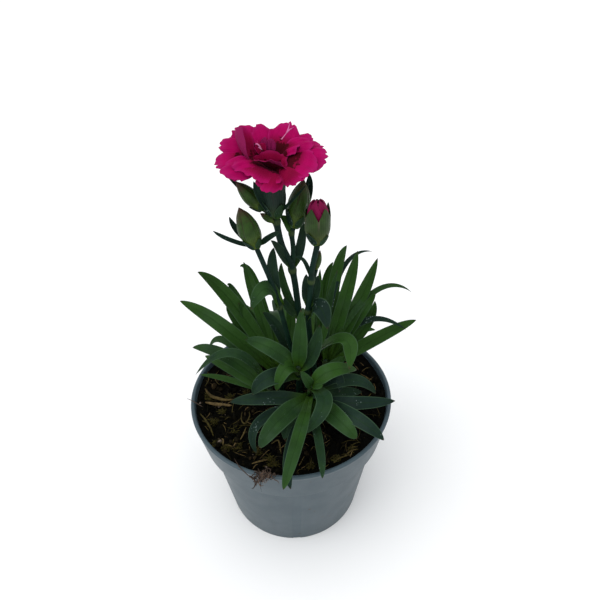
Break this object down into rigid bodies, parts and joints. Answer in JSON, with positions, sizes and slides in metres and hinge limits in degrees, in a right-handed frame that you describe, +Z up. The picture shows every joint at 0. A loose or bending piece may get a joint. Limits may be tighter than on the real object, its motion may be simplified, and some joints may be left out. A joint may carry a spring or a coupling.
{
  "type": "potted dianthus plant",
  "caption": "Low potted dianthus: round tapered nursery pot, peaty soil, narrow leafy shoots, budded stems and one open ruffled double bloom.",
  "frame": {"origin": "middle of the pot's flat base, on the surface it stands on", "axes": "+Z up along the pot's axis, -Y towards the side that the low front shoot hangs over, +X to the right seen from there"},
  "size_m": [0.1178, 0.1433, 0.218],
  "materials": {
    "pot_plastic": "satin moulded plastic",
    "soil": "damp peat with coir and moss fibres",
    "leaf": "waxy leaf with a pale margin",
    "stem": "waxy stem, calyx and bud scale",
    "petal": "velvety petal with a dark throat"
  },
  "bodies": {
    "root": {"pot": "pot_plastic", "soil": "soil", "front_shoot": "leaf", "rosette_shoot": "leaf", "left_shoot": "leaf", "low_left_shoot": "leaf", "right_shoot": "leaf", "back_left_shoot": "leaf", "back_right_shoot": "leaf", "main_flower_stem": "stem", "left_bud_stem": "stem", "right_bud_stem": "stem", "bloom_petals": "petal", "right_bud_petals": "petal"}
  },
  "joints": []
}
